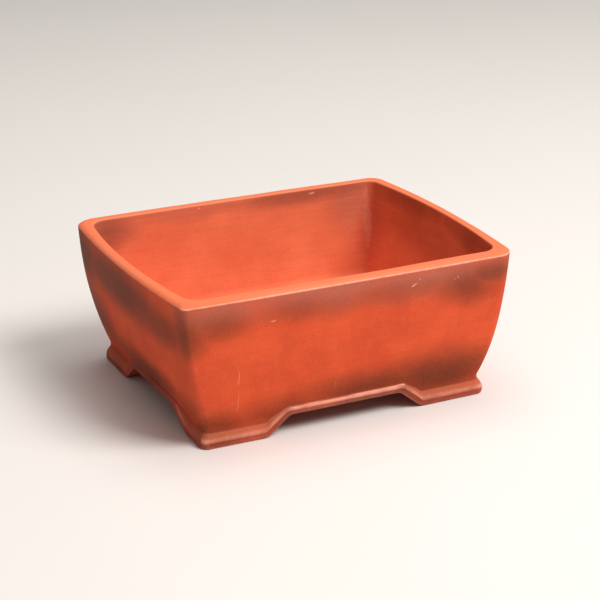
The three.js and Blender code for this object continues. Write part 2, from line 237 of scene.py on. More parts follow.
def ring(z, offset, radius, level=0.0, hollow=0.0):
    """Points of all stations on the outline at height z, moved outwards by the offset.

    Stations keep their place along the side up to a pivot, and spread out evenly from there to
    the corner. The pivot is the end of the sole in the skirt (level 0) and lies further in for
    the walls (level 1).
    """
    plan = corner_arc(z, offset, radius, hollow)
    half_x, half_y = plan["half"]
    bow_x, bow_y = plan["bow"]
    pivot = sole_of + (WALL_PIVOT * band_touch_of - sole_of) * level
    along = []
    for touch in plan["touch"]:
        stretch = (touch - pivot) / (band_touch_of - pivot)
        along.append(np.where(place_of > pivot, pivot + (place_of - pivot) * stretch, place_of))
    side = (along[0], half_y + bow_y * (1 - (along[0] / half_x) ** 2))
    end = (half_x + bow_x * (1 - (along[1] / half_y) ** 2), along[1])
    first_angle, last_angle = plan["angles"]
    angle = first_angle + (last_angle - first_angle) * np.where(kind_of == ARC, place_of, 0)
    centre_x, centre_y = plan["centre"]
    arc = (centre_x + radius * np.cos(angle), centre_y + radius * np.sin(angle))
    x, y = (np.choose(kind_of, (s, e, a)) for s, e, a in zip(side, end, arc))
    points = np.empty((COUNT, 3))
    points[:, 0] = x * sign_of[:, 0]
    points[:, 1] = y * sign_of[:, 1]
    points[:, 2] = z
    return points


def outer_radius(z):
    """Radius of the outer face's corners at height z, for every station."""
    s = np.minimum((HEIGHT - np.maximum(z, LEAN_END)) / (HEIGHT - BODY_UNDERSIDE), 1)
    at_base, at_rim = per_corner(BASE_CORNERS), per_corner(RIM_CORNERS)
    return at_base + (at_rim - at_base) * (1 - s) ** 1.3


def inner_face(z, inset=WALL):
    """Outline of the walls' inner face at height z."""
    return ring(z, -inset, per_corner(INNER_CORNERS), 1.0, END_HOLLOW)


# ---- skirt heights at every station ----


def moulding_heights():
    """Heights of the skirt's lower edge, of the moulding's arris and of the top of its slope."""
    curves = np.array([(SIDE_CURVES if k == SIDE else END_CURVES)[c] for k, c, _ in stations])
    apron, sole, soft_foot, soft_apron = curves.T
    share = np.where(kind_of == ARC, 0, np.clip((sole - place_of) / (sole - apron), 0, 1))
    steep = 1 / (1 - (soft_foot + soft_apron) / 2)
    rest = 1 - share
    near_foot = share < soft_foot
    near_apron = share > 1 - soft_apron
    height = steep * (share - soft_foot / 2)
    height = np.where(near_foot, steep * share**2 / (2 * soft_foot), height)
    height = np.where(near_apron, 1 - steep * rest**2 / (2 * soft_apron), height)
    steepness = np.where(near_foot, steep * share / soft_foot, steep)
    steepness = np.where(near_apron, steep * rest / soft_apron, steepness)
    slope = ARCH_HEIGHT * steepness / (sole - apron)
    lower = ARCH_HEIGHT * height
    arris = lower + (FOOT_FACE + (APRON_FACE - FOOT_FACE) * share) * np.sqrt(1 + slope**2)
    upper = np.minimum(arris + FOOT_SLOPE + (APRON_SLOPE - FOOT_SLOPE) * share, BODY_UNDERSIDE - 1.0)
    return lower, arris, upper


# ---- the skin: rows of points along the section, one point per station in each ----


def at_height(points, z):
    moved = points.copy()
    moved[:, 2] = z
    return moved


def between(a, b, steps):
    """Rows strictly between two rows."""
    return [a + (b - a) * i / steps for i in range(1, steps)]


def rounded(before, corner, after, radius, steps):
    """Rows that round off a corner of the section."""
    def toward(target):
        step = target - corner
        return corner + step * (radius / np.linalg.norm(step, axis=1))[:, None]
    start, end = toward(before), toward(after)
    rows = []
    for i in range(steps + 1):
        t = i / steps
        rows.append(start * (1 - t) ** 2 + corner * (2 * t * (1 - t)) + end * t**2)
    return rows


def make_skin():
    """Rows of the whole skin, and the numbers of the rows where something begins or ends."""
    lower, arris, upper = moulding_heights()
    inner = ring(LEAN_END, -SKIRT_DEPTH, per_corner(SKIRT_CORNERS))
    band = ring(LEAN_END, BAND_PROJECTION, per_corner(BAND_CORNERS))
    inner_top = at_height(inner, BODY_UNDERSIDE)
    inner_low = at_height(inner, lower)
    band_low = at_height(band, lower)
    band_arris = at_height(band, arris)
    slope_top = ring(upper, 0, outer_radius(upper))
    above = ring(upper + 3, 0, outer_radius(upper + 3))

    rows = [inner_top]
    inside_edge = rounded(inner_top, inner_low, band_low, SOFT_INNER_EDGE, steps=5)
    outside_edge = rounded(inner_low, band_low, band_arris, SOFT_OUTER_EDGE, steps=6)
    arris_edge = rounded(band_low, band_arris, slope_top, SOFT_ARRIS, steps=6)
    hollow = rounded(band_arris, slope_top, above, SOFT_HOLLOW, steps=4)
    rows += between(inner_top, inside_edge[0], steps=4) + inside_edge
    rows += between(inside_edge[-1], outside_edge[0], steps=4) + outside_edge
    names = {"band": len(rows)}
    rows += between(outside_edge[-1], arris_edge[0], steps=3) + arris_edge
    rows += between(arris_edge[-1], hollow[0], steps=3) + hollow
    names["step"] = len(rows) - 1
    start = hollow[-1][:, 2]
    for i in range(1, STEP_ROWS + 1):
        z = start + (BODY_UNDERSIDE - start) * i / STEP_ROWS
        rows.append(ring(z, 0, outer_radius(z)))
    names["body"] = len(rows) - 1

    face_top = HEIGHT - RIM_CROWN - ARRIS_ROOM
    for i in range(1, OUTER_ROWS + 1):
        z = BODY_UNDERSIDE + (face_top - BODY_UNDERSIDE) * i / OUTER_ROWS
        rows.append(ring(z, 0, outer_radius(z), min(i / LEVEL_ROWS, 1.0)))

    def crown(width):
        """Top of the rim: it falls off towards its outer arris."""
        share = width / (WALL - RIM_INNER_ROUND)
        z = HEIGHT - RIM_CROWN * max(1 - width / CROWN_WIDTH, 0) ** 2
        radius = outer_radius(HEIGHT) * (1 - share) + per_corner(INNER_CORNERS) * share
        return ring(z, -width, radius, 1.0, END_HOLLOW * share)

    rows += rounded(rows[-2], crown(0.0), crown(ARRIS_ROOM), SOFT_RIM_ARRIS, steps=4)
    names["arris"] = len(rows) - 3
    rows += [crown(width) for width in CROWN_ROWS + (WALL - RIM_INNER_ROUND,)]
    names["inner_round"] = len(rows) - 1
    for i in range(1, ROUND_ROWS + 1):
        angle = math.pi / 2 * (1 - i / ROUND_ROWS)
        z = HEIGHT - RIM_INNER_ROUND * (1 - math.sin(angle))
        flare = RIM_INNER_ROUND * (1 - math.cos(angle))
        rows.append(inner_face(z, WALL - flare))
    rows.append(inner_face(COIL_TOP))
    names["coil_top"] = len(rows) - 1
    fillet_top = FLOOR + FLOOR_FILLET
    for i in range(1, INNER_ROWS + 1):
        z = COIL_TOP + (fillet_top - COIL_TOP) * i / INNER_ROWS
        rows.append(inner_face(z))
    names["fillet"] = len(rows) - 1
    for i in range(1, FILLET_ROWS + 1):
        angle = math.pi / 2 * (1 - i / FILLET_ROWS)
        z = FLOOR + FLOOR_FILLET * (1 - math.cos(angle))
        inset = WALL + FLOOR_FILLET * (1 - math.sin(angle))
        rows.append(inner_face(z, inset))
    names["floor"] = len(rows) - 1
    return np.array(rows), names


def grid_normals(grid):
    """Unit normals of the skin at every point, facing out of the clay."""
    along = np.roll(grid, -1, axis=1) - np.roll(grid, 1, axis=1)
    across = np.gradient(grid, axis=0)
    normals = np.cross(along, across)
    return normals / np.linalg.norm(normals, axis=2)[:, :, None]


# Swellings and dents of the hand-smoothed surface: height, size and a shift of the noise.
UNEVEN_LAYERS = (
    (0.30, 62.0, Vector((3.1, 0.7, 5.2))),
    (0.12, 23.0, Vector((9.4, 2.2, 1.6))),
    (0.035, 9.0, Vector((0.0, 0.0, 0.0))),
)


def unevenness(point):
    """Height in millimetres of the hand-smoothed surface over the true one."""
    place = Vector(point)
    return sum(height * noise.noise(place / size + shift) for height, size, shift in UNEVEN_LAYERS)


def smoothstep(low, high, value):
    t = np.clip((value - low) / (high - low), 0, 1)
    return t * t * (3 - 2 * t)


skin, row_at = make_skin()
raw_normals = grid_normals(skin)
heights = np.array([[unevenness(p) for p in row] for row in skin])
heights *= smoothstep(0.2, 4.0, skin[:, :, 2])
skin = skin + raw_normals * heights[:, :, None]
skin[:, :, 2] = np.maximum(skin[:, :, 2], 0.0)
skin[0, :, 2] = BODY_UNDERSIDE
skin[row_at["body"], :, 2] = BODY_UNDERSIDE
normals = grid_normals(skin)


def bending():
    """How sharply the skin bends outwards at each point, per millimetre."""
    def along_axis(step_points, step_normals):
        length = np.maximum((step_points**2).sum(axis=2), 1e-6)
        return (step_points * step_normals).sum(axis=2) / length
    round_points = np.roll(skin, -1, axis=1) - np.roll(skin, 1, axis=1)
    round_normals = np.roll(normals, -1, axis=1) - np.roll(normals, 1, axis=1)
    up_points = np.gradient(skin, axis=0)
    up_normals = np.gradient(normals, axis=0)
    return along_axis(round_points, round_normals), along_axis(up_points, up_normals)


FAINT_BEND = 0.06                 # per millimetre, where an edge or a hollow begins to show
SHARP_BEND = 0.5                  # and where it shows fully
SHARP_ARRIS_BEND = 0.25           # the same for the moulding's arris: most rubbed, and given a painted highlight
UPRIGHT_SHARE = 0.6               # how much the upright corners count against the other edges
NEXT_ROW_SHARE = 0.4              # how much of the arris's wear and painted highlight the row above it takes
UNDERSIDE_LOSS = 0.75             # how much less pale the skirt's lower edge, facing down, is painted
row_number = np.arange(len(skin))


def rubbed_and_highlit_edges(bend_round, bend_up):
    """How pale each point's edge is painted, from 0 to 1: rubbed wear, and a painted highlight."""
    bend = np.maximum(bend_round * UPRIGHT_SHARE, bend_up)
    wear_and_highlight = smoothstep(FAINT_BEND, SHARP_BEND, bend)
    arris_wear_and_highlight = smoothstep(FAINT_BEND, SHARP_ARRIS_BEND, bend)
    arris_wear_and_highlight = np.maximum(arris_wear_and_highlight, NEXT_ROW_SHARE * np.roll(arris_wear_and_highlight, 1, axis=0))
    near_arris = (row_number >= row_at["band"]) & (row_number <= row_at["step"] - 5)
    wear_and_highlight = np.where(near_arris[:, None], arris_wear_and_highlight, wear_and_highlight)
    under_band = 1 - smoothstep(row_at["band"] - 2, row_at["band"] + 1, row_number)
    return wear_and_highlight * (1 - UNDERSIDE_LOSS * under_band[:, None])


def row_shares():
    """How much each point belongs to the rim, to the inside and to the moulding.

    All points of a row have the same share, and it fades over a few rows.
    """
    rim_start, rim_end = row_at["arris"], row_at["inner_round"]
    rim = smoothstep(rim_start - 1, rim_start + 2, row_number)
    rim = rim * (1 - smoothstep(rim_end + 1, rim_end + 5, row_number))
    inside = smoothstep(rim_start + 3, rim_end + 2, row_number)
    moulding = 1 - smoothstep(row_at["step"] - 3, row_at["step"], row_number)
    return [np.repeat(share[:, None], COUNT, axis=1) for share in (rim, inside, moulding)]


# What the clay material reads from the meshes, one number per point for each of these.
# Of these, hollow is painted shade in creases; the wear is rubbed wear with a painted highlight.
PAINT_NAMES = ("wear_and_highlight", "hollow", "rim", "inside", "moulding")
UNPAINTED = (0.0, 0.0, 0.0, 0.0, 0.0)
PAINTED_INSIDE = (0.0, 0.0, 0.0, 1.0, 0.0)
bend_round, bend_up = bending()
# Pale edges: rubbed wear, and a painted highlight along them.
wear_and_highlight = rubbed_and_highlit_edges(bend_round, bend_up)
# Painted shade: where the skin bends inwards, in creases and hollows, the clay is painted darker.
crease_shade = smoothstep(FAINT_BEND, SHARP_BEND, -np.minimum(bend_round, bend_up))
paint = np.stack([wear_and_highlight, crease_shade] + row_shares(), axis=2)


def square_corners(points):
    """A copy of a row of points that runs on into sharp corners instead of round ones."""
    squared = points.copy()
    for corner in range(4):
        first = marks["touch", corner]
        start, end = points[first], points[(first + ARC_STEPS) % COUNT]
        from_side = kind_of[(first - 1) % COUNT] == SIDE
        sharp_x, sharp_y = (end[0], start[1]) if from_side else (start[0], end[1])
        sharp = np.array([sharp_x, sharp_y, (start[2] + end[2]) / 2])
        for step in range(1, ARC_STEPS):
            share = 2 * step / ARC_STEPS
            place = start + (sharp - start) * share
            if share > 1:
                place = sharp + (end - sharp) * (share - 1)
            squared[(first + step) % COUNT] = place
    return squared


# The inner face of the bare slabs: behind the corner coils it runs on into a sharp corner.
bare = skin.copy()
for row in range(row_at["coil_top"], row_at["fillet"] + 1):
    bare[row] = square_corners(skin[row])
is_arc_inside = (kind_of == ARC) & (place_of > 0) & (place_of < 1)

# ---- closed pieces ----


class Solid:
    """Collects faces over shared points, and drops faces that have shrunk to a line."""

    def __init__(self):
        self.points = []
        self.index = {}
        self.paint = []
        self.faces = []
        self.corner_normals = []

    def point(self, position, painted=UNPAINTED):
        """Number of the point at a position, which is made if there is none yet."""
        key = tuple(round(float(c), 3) for c in position)
        if key not in self.index:
            self.index[key] = len(self.points)
            self.points.append([float(c) / 1000 for c in position])
            self.paint.append(painted)
        return self.index[key]

    def face(self, indices, face_normals=None):
        """Adds a face, shaded flat where it is given no normals."""
        kept = []
        kept_normals = []
        for i, index in enumerate(indices):
            if index != indices[i - 1]:
                kept.append(index)
                kept_normals.append(None if face_normals is None else face_normals[i])
        if len(kept) < 3 or len(set(kept)) < len(kept):
            return
        if face_normals is None:
            flat = self.flat_normal(kept)
            kept_normals = [flat] * len(kept)
        self.faces.append(kept)
        self.corner_normals.extend(kept_normals)

    def flat_normal(self, indices):
        loop = np.array([self.points[i] for i in indices])
        total = np.cross(loop, np.roll(loop, -1, axis=0)).sum(axis=0)
        length = np.linalg.norm(total)
        return tuple(total / length) if length > 0 else (0.0, 0.0, 1.0)

    def build(self, name):
        mesh = bpy.data.meshes.new(name)
        mesh.from_pydata(self.points, [], self.faces)
        for label, values in zip(PAINT_NAMES, zip(*self.paint)):
            mesh.attributes.new(label, "FLOAT", "POINT").data.foreach_set("value", values)
        mesh.normals_split_custom_set(self.corner_normals)
        piece = bpy.data.objects.new(name, mesh)
        bpy.context.scene.collection.objects.link(piece)
        return piece


class Row:
    """One row of a piece's section: its points, and the skin's normals where it is part of it.

    Where shown is given, only the stations it marks take the skin's normals.
    """

    def __init__(self, points, row=None, shown=None):
        self.points = points
        self.row = row
        self.shown = shown

    def normal(self, index):
        if self.row is None or (self.shown is not None and not self.shown[index]):
            return None
        return tuple(normals[self.row, index])


def skin_rows(first, last):
    step = 1 if last >= first else -1
    return [Row(skin[r], r) for r in range(first, last + step, step)]


def loft(name, first, last, rows):
    """A closed solid from the section rows between two stations, going anticlockwise.

    Faces between neighbouring rows of the skin are shaded with its normals, all others flat.
    """
    solid = Solid()
    count = (last - first) % COUNT
    indices = [(first + i) % COUNT for i in range(count + 1)]
    table = []
    for index in indices:
        column = []
        for row in rows:
            painted = UNPAINTED if row.row is None else tuple(paint[row.row, index])
            column.append(solid.point(row.points[index], painted))
        table.append(column)
    for i in range(count):
        for j in range(len(rows)):
            k = (j + 1) % len(rows)
            corners = [table[i][j], table[i + 1][j], table[i + 1][k], table[i][k]]
            shading = [rows[j].normal(indices[i]), rows[j].normal(indices[i + 1]),
                       rows[k].normal(indices[i + 1]), rows[k].normal(indices[i])]
            smooth = k > 0 and rows[j].row is not None and rows[k].row is not None
            smooth = smooth and abs(rows[j].row - rows[k].row) == 1 and None not in shading
            solid.face(corners, shading if smooth else None)
    solid.face(table[0])
    solid.face(table[-1][::-1])
    return solid.build(name)


inner_rows = [Row(bare[r], r, ~is_arc_inside) for r in range(row_at["coil_top"], row_at["fillet"] + 1)]
middle = [marks["middle", c] for c in range(4)]
touch = [marks["touch", c] for c in range(4)]
finished_low = inner_face(FLOOR)
slab_foot = square_corners(inner_face(BODY_UNDERSIDE))
coil_foot = square_corners(finished_low)
SIDE_NAMES = ("front", "right", "back", "left")

walls = {}
floor_coils = {}
wall_section = skin_rows(row_at["body"], row_at["coil_top"]) + inner_rows + [Row(slab_foot)]
floor_section = skin_rows(row_at["fillet"], row_at["floor"]) + [Row(finished_low)]
for i, side in enumerate(SIDE_NAMES):
    start, end = middle[i], middle[(i + 1) % 4]
    walls[side] = loft(f"wall_{side}_clay", start, end, wall_section)
    floor_coils[side] = loft(f"floor_coil_{side}_clay", start, end, floor_section)

corner_coils = {}
coil_back = [Row(bare[r]) for r in range(row_at["fillet"], row_at["coil_top"] - 1, -1)]
coil_section = skin_rows(row_at["coil_top"], row_at["fillet"]) + [Row(finished_low), Row(coil_foot)]
for i, corner in enumerate(CORNER_NAMES):
    end = (touch[i] + ARC_STEPS) % COUNT
    corner_coils[corner] = loft(f"corner_coil_{corner}_clay", touch[i], end, coil_section + coil_back)

feet = {}
aprons = {}
skirt_section = skin_rows(0, row_at["body"])
foot_ends = (
    (marks[END, 0], marks[SIDE, 0]),
    (marks[SIDE, 1], marks[END, 1]),
    (marks[END, 2], marks[SIDE, 2]),
    (marks[SIDE, 3], marks[END, 3]),
)
for corner, (start, end) in zip(CORNER_NAMES, foot_ends):
    feet[corner] = loft(f"foot_{corner}_clay", start, end, skirt_section)
apron_ends = (
    (marks[SIDE, 0], marks[SIDE, 1]),
    (marks[END, 1], marks[END, 2]),
    (marks[SIDE, 2], marks[SIDE, 3]),
    (marks[END, 3], marks[END, 0]),
)
for side, (start, end) in zip(SIDE_NAMES, apron_ends):
    aprons[side] = loft(f"apron_{side}_clay", start, end, skirt_section)


def drain_profile():
    """Radius and height of the hole's wall from its lower lip to its upper one."""
    lip_low, low_steps = 1.2, 5
    lip_top, top_steps = 1.8, 6
    profile = []
    for i in range(low_steps + 1):
        angle = math.pi / 2 * (1 - i / low_steps)
        height = BODY_UNDERSIDE + lip_low * (1 - math.sin(angle))
        profile.append((DRAIN_RADIUS + lip_low * (1 - math.cos(angle)), height))
    for i in range(top_steps + 1):
        angle = math.pi / 2 * i / top_steps
        height = FLOOR - lip_top * (1 - math.sin(angle))
        profile.append((DRAIN_RADIUS + lip_top * (1 - math.cos(angle)), height))
    return profile


def drain_section(x, y, profile):
    """Points up the wall of the hole at +X, out over the floor to x and y, and back underneath."""
    centre = DRAIN_SPACING / 2
    angle = math.atan2(y, x - centre)
    section = [(centre + r * math.cos(angle), r * math.sin(angle), z) for r, z in profile]

    def outwards(start, z, steps):
        run_x, run_y = x - start[0], y - start[1]
        return [(start[0] + run_x * i / steps, start[1] + run_y * i / steps, z)
                for i in range(1, steps + 1)]

    over = outwards(section[-1], FLOOR, FLOOR_STEPS)
    under = outwards(section[0], BODY_UNDERSIDE, UNDERSIDE_STEPS)
    return section + over + under[::-1]


def base_slab():
    """Floor plate with two round drainage holes, their edges softened by a wet finger.

    Each half is a ring of sections round its hole, which reach out to the edge of the slab and
    to the middle line, where the two halves share their points.
    """
    solid = Solid()
    outline = slab_foot[:, :2] * (1 - SEAM / SEAM_REACH)
    reach = abs(outline[:, 1]).max()
    steps = MIDDLE_LINE_STEPS
    middle_line = [(0.0, reach - 2 * reach * i / steps) for i in range(steps + 1)]
    profile = drain_profile()
    floor_end = len(profile) + FLOOR_STEPS
    for turn in (1, -1):
        half = [(p[0] * turn, p[1]) for p in outline if p[0] * turn > 1e-6]
        half.sort(key=lambda p: math.atan2(p[1], p[0]))
        loop = half + middle_line
        table = []
        for loop_x, loop_y in loop:
            column = []
            for j, (x, y, z) in enumerate(drain_section(loop_x, loop_y, profile)):
                painted = PAINTED_INSIDE if z > FLOOR - LIP_DEPTH else UNPAINTED
                if not 0 < j < len(profile) - 1:
                    z += unevenness((x * turn, y, z)) * (1.0 if z == FLOOR else 0.5)
                column.append(solid.point((x * turn, y, z), painted))
            table.append(column)
        for i in range(len(loop)):
            here, there = table[i], table[(i + 1) % len(loop)]
            on_line = loop[i][0] == 0.0 and loop[(i + 1) % len(loop)][0] == 0.0
            for j in range(len(here)):
                k = (j + 1) % len(here)
                if on_line and j == floor_end - 1:
                    continue          # no face between the two halves
                corners = [here[j], there[j], there[k], here[k]]
                solid.face(corners[::-1] if turn > 0 else corners)
    return solid.build("base_slab_clay")


slab = base_slab()


# ---- clay ----


def srgb(red, green, blue):
    """Linear colour from the usual 0 to 255 numbers."""
    def linear(value):
        value /= 255
        return value / 12.92 if value <= 0.04045 else ((value + 0.055) / 1.055) ** 2.4
    return (linear(red), linear(green), linear(blue), 1.0)


class Nodes:
    """Short names for the node types that the materials are made of."""

    def __init__(self, material):
        self.tree = material.node_tree
        self.tree.nodes.clear()

    def new(self, kind, inputs=(), **settings):
        node = self.tree.nodes.new(kind)
        for key, value in settings.items():
            setattr(node, key, value)
        for key, value in dict(inputs).items():
            self.set(node.inputs[key], value)
        return node

    def set(self, socket, value):
        if isinstance(value, bpy.types.NodeSocket):
            self.tree.links.new(value, socket)
        else:
            socket.default_value = value

    def math(self, operation, a, b=0.0, c=0.0):
        return self.new("ShaderNodeMath", {0: a, 1: b, 2: c}, operation=operation).outputs[0]

    def vector(self, operation, a, b=(0.0, 0.0, 0.0)):
        node = self.new("ShaderNodeVectorMath", {0: a, 1: b}, operation=operation)
        return node.outputs["Value" if operation == "LENGTH" else "Vector"]

    def ramp(self, value, low, high, start=0.0, end=1.0):
        inputs = {"Value": value, "From Min": low, "From Max": high, "To Min": start, "To Max": end}
        return self.new("ShaderNodeMapRange", inputs, interpolation_type="SMOOTHSTEP").outputs["Result"]

    def noise(self, vector, scale, detail=2.0, roughness=0.5):
        inputs = {"Vector": vector, "Scale": scale, "Detail": detail, "Roughness": roughness}
        return self.new("ShaderNodeTexNoise", inputs).outputs["Fac"]

    def mix(self, share, a, b):
        node = self.new("ShaderNodeMix", data_type="RGBA")
        self.set(node.inputs[0], share)
        self.set(node.inputs[6], a)
        self.set(node.inputs[7], b)
        return node.outputs[2]

    def spot(self, place, centre, radii, core=0.12):
        """Soft ellipsoid mask, 1 at its centre; centre and radii in millimetres."""
        offset = self.vector("SUBTRACT", place, centre)
        reach = self.vector("LENGTH", self.vector("DIVIDE", offset, radii))
        return self.ramp(reach, core, 1.0, 1.0, 0.0)

    def spots(self, place, table, core=0.12):
        total = None
        for centre, radii, strength in table:
            mask = self.math("MULTIPLY", self.spot(place, centre, radii, core), strength)
            total = mask if total is None else self.math("MAXIMUM", total, mask)
        return total

    def product(self, *values):
        total = values[0]
        for value in values[1:]:
            total = self.math("MULTIPLY", total, value)
        return total

    def attribute(self, name):
        return self.new("ShaderNodeAttribute", attribute_name=name).outputs["Fac"]

    def surface(self, shader):
        self.new("ShaderNodeOutputMaterial", {"Surface": shader.outputs["BSDF"]})

    def moved(self, point, place, scale, roughness, reach):
        """The point, moved about by noise, by at most half the reach along each axis."""
        inputs = {"Vector": place, "Scale": scale, "Detail": 2.0, "Roughness": roughness}
        colour = self.new("ShaderNodeTexNoise", inputs).outputs["Color"]
        shift = self.vector("SUBTRACT", colour, (0.5, 0.5, 0.5))
        return self.vector("ADD", point, self.vector("MULTIPLY", shift, reach))


# Marks of the kiln's smoke and flame, and painted shade low on the walls: centre, radii (mm) and
# strength.
SMOKE_AND_SHADE_OUTSIDE = [
    ((-150, -119, 100), (46, 34, 30), 0.92),
    ((-120, -119, 104), (59, 34, 20), 0.65),
    ((-40, -119, 107), (94, 34, 15), 0.43),
    ((40, -119, 108), (94, 34, 14), 0.38),
    ((104, -119, 102), (50, 34, 26), 0.76),
    ((128, -119, 112), (40, 34, 16), 0.76),
    # Low on the front, above the feet: kiln smoke, with painted shade darker towards the bottom.
    ((84, -112, 26), (92, 34, 36), 1.00),
    ((20, -110, 24), (116, 34, 30), 0.90),
    ((-52, -110, 18), (84, 34, 25), 0.74),
    ((-122, -112, 14), (62, 34, 25), 0.84),
    ((-152, 92, 104), (34, 70, 44), 1.00),
    ((-153, 10, 103), (38, 170, 33), 1.00),
    ((-152, -70, 98), (34, 76, 28), 0.85),
    # Low on the left: kiln smoke, with painted shade darker towards the bottom.
    ((-146, -92, 22), (34, 56, 30), 1.00),
    ((-143, -10, 30), (34, 122, 26), 1.00),
    ((-146, 92, 40), (34, 54, 62), 0.86),
    ((152, 60, 104), (34, 94, 35), 0.81),
    ((152, -70, 112), (34, 68, 16), 0.59),
    # Low on the right: kiln smoke, with painted shade darker towards the bottom.
    ((146, 0, 34), (34, 124, 22), 0.76),
    ((-70, 119, 106), (89, 34, 24), 0.76),
    ((80, 119, 110), (94, 34, 18), 0.65),
    # Low on the back: kiln smoke, with painted shade darker towards the bottom.
    ((10, 111, 32), (151, 34, 24), 0.70),
    ((118, 116, 60), (46, 34, 46), 0.59),
]
ASH_OUTSIDE = [
    ((-118, -120, 118), (83, 34, 22), 0.92),
    ((-20, -120, 121), (143, 34, 25), 1.00),
    ((70, -120, 119), (112, 34, 27), 1.00),
    ((126, -120, 118), (52, 34, 17), 0.86),
    ((-150, 100, 60), (34, 34, 91), 0.65),
    ((-143, 10, 30), (34, 104, 12), 0.59),
    ((152, 20, 121), (34, 117, 17), 0.76),
    ((0, 120, 121), (182, 34, 18), 0.86),
]
SMOKE_INSIDE = [
    ((-132, 104, 110), (40, 34, 30), 0.54),
    ((-142, 60, 116), (34, 81, 22), 0.65),
    ((-141, -40, 118), (34, 94, 14), 0.59),
    ((141, 40, 122), (34, 89, 23), 0.60),
    ((141, -52, 121), (34, 76, 22), 0.62),
    ((138, -96, 118), (34, 35, 30), 0.55),
    ((139, 10, 100), (34, 120, 30), 0.30),
    ((70, 108, 124), (122, 34, 14), 0.43),
    ((0, -108, 120), (162, 34, 14), 0.49),
    ((-60, 0, 34), (81, 81, 11), 0.32),
    ((80, 30, 34), (62, 68, 11), 0.27),
]
ASH_INSIDE = [
    ((-124, 107, 118), (47, 34, 34), 1.00),
    ((-60, 108, 126), (117, 34, 14), 0.70),
    ((112, 107, 110), (36, 34, 44), 0.86),
    ((60, 108, 124), (86, 34, 17), 0.76),
    ((134, 102, 80), (16, 34, 70), 0.65),
    ((0, -30, 34), (117, 78, 10), 0.32),
]
# Small pale marks where the fired skin has been knocked or scratched, and one painted highlight.
NICKS_AND_HIGHLIGHT = [
    ((53.5, -119.5, 113.2), (2.6, 4.0, 0.7), 0.55),
    ((51.4, -119.5, 112.2), (2.4, 4.0, 0.6), 0.65),
    ((57.8, -119.5, 116.6), (0.5, 4.0, 1.3), 0.95),
    ((91.2, -119.5, 111.6), (0.8, 4.0, 0.6), 0.75),
    ((93.6, -119.5, 112.8), (0.6, 4.0, 0.9), 0.70),
    ((95.4, -119.5, 111.4), (0.5, 4.0, 0.5), 0.60),
    ((-72.0, -119.5, 103.4), (3.4, 4.0, 0.7), 0.45),
    ((-100.6, -117.0, 58.0), (0.6, 7.0, 14.0), 0.24),
    ((-99.8, -112.0, 36.0), (0.5, 8.0, 12.0), 0.20),
    ((-127.0, -108.5, 22.6), (1.9, 4.0, 0.9), 0.95),
    ((-129.2, -108.5, 23.4), (1.0, 4.0, 0.7), 0.80),
    ((-14.0, -111.0, 36.0), (0.5, 5.0, 4.0), 0.22),
    ((76.0, 108.0, 122.4), (3.2, 4.0, 1.5), 0.80),
    # Painted highlight: a pale upright stripe down the inside of the back right corner.
    ((131.0, 106.0, 86.0), (4.0, 12.0, 46.0), 0.20),
    ((-36.0, 108.0, 124.6), (2.2, 4.0, 0.8), 0.50),
    ((150.5, 24.0, 98.0), (5.0, 0.8, 7.0), 0.40),
    ((151.0, -38.0, 84.0), (5.0, 3.4, 0.7), 0.40),
    ((34.0, 119.5, 96.0), (6.0, 4.0, 0.7), 0.40),
    ((-62.0, 118.0, 70.0), (0.7, 5.0, 9.0), 0.35),
]


# Colours of the clay and of its painted light and shade. Where there are two, the surface drifts
# between them.
BODY_COLOURS = (srgb(229, 88, 48), srgb(213, 78, 42))
INSIDE_COLOURS = (srgb(238, 130, 90), srgb(228, 118, 80))
MOULDING_COLOURS = (srgb(192, 82, 60), srgb(172, 70, 50))
MOTTLE_COLOUR = srgb(240, 112, 70)
STREAK_COLOUR = srgb(180, 62, 38)
ASH_COLOUR = srgb(184, 104, 85)
SMOKE_AND_SHADE_COLOUR = srgb(102, 45, 19)
TOP_HIGHLIGHT_COLOUR = srgb(238, 126, 86)
RIM_CLEAN_AND_HIGHLIGHT_COLOUR = srgb(244, 128, 85)
CREASE_SHADE_COLOUR = srgb(150, 58, 42)
WORN_AND_HIGHLIGHT_COLOUR = srgb(250, 170, 144)
PALE_GRAIN_COLOUR = srgb(236, 138, 108)
DARK_GRAIN_COLOUR = srgb(120, 40, 26)
NICK_AND_HIGHLIGHT_COLOUR = srgb(250, 196, 172)


def clay_fields(n):
    """What the looks of the clay are worked out from, as sockets by name."""
    place = n.new("ShaderNodeTexCoord").outputs["Object"]
    millimetres = n.vector("MULTIPLY", place, (1000.0, 1000.0, 1000.0))
    flattened = n.vector("MULTIPLY", place, (22.0, 22.0, 380.0))
    normal = n.new("ShaderNodeNewGeometry").outputs["Normal"]
    facing = n.new("ShaderNodeSeparateXYZ", {"Vector": normal})
    fields = {name: n.attribute(name) for name in PAINT_NAMES}
    fields.update({
        "place": place,
        "millimetres": millimetres,
        "drifted": n.moved(millimetres, place, 14.0, 0.45, (18.0, 18.0, 15.0)),
        "facing_back": facing.outputs["Y"],
        "facing_up": facing.outputs["Z"],
        "outside": n.math("SUBTRACT", 1.0, fields["inside"]),
        "clear_of_rim": n.math("SUBTRACT", 1.0, fields["rim"]),
        "clouds": n.noise(place, 22.0, 4.0, 0.55),
        "mottle": n.noise(place, 130.0, 3.0, 0.6),
        "grain": n.noise(place, 1100.0, 2.0, 0.6),
        "pores": n.noise(place, 2300.0, 3.0, 0.6),
        "streaks": n.noise(flattened, 1.0, 2.0, 0.5),
    })
    return fields


def spot_strength(n, fields, outside_spots, inside_spots):
    """Strength of one table's spots on the outside faces and of another's on the inside ones."""
    marks_outside = n.product(n.spots(fields["drifted"], outside_spots), fields["outside"])
    marks_inside = n.product(n.spots(fields["drifted"], inside_spots), fields["inside"])
    return n.math("ADD", marks_outside, marks_inside)


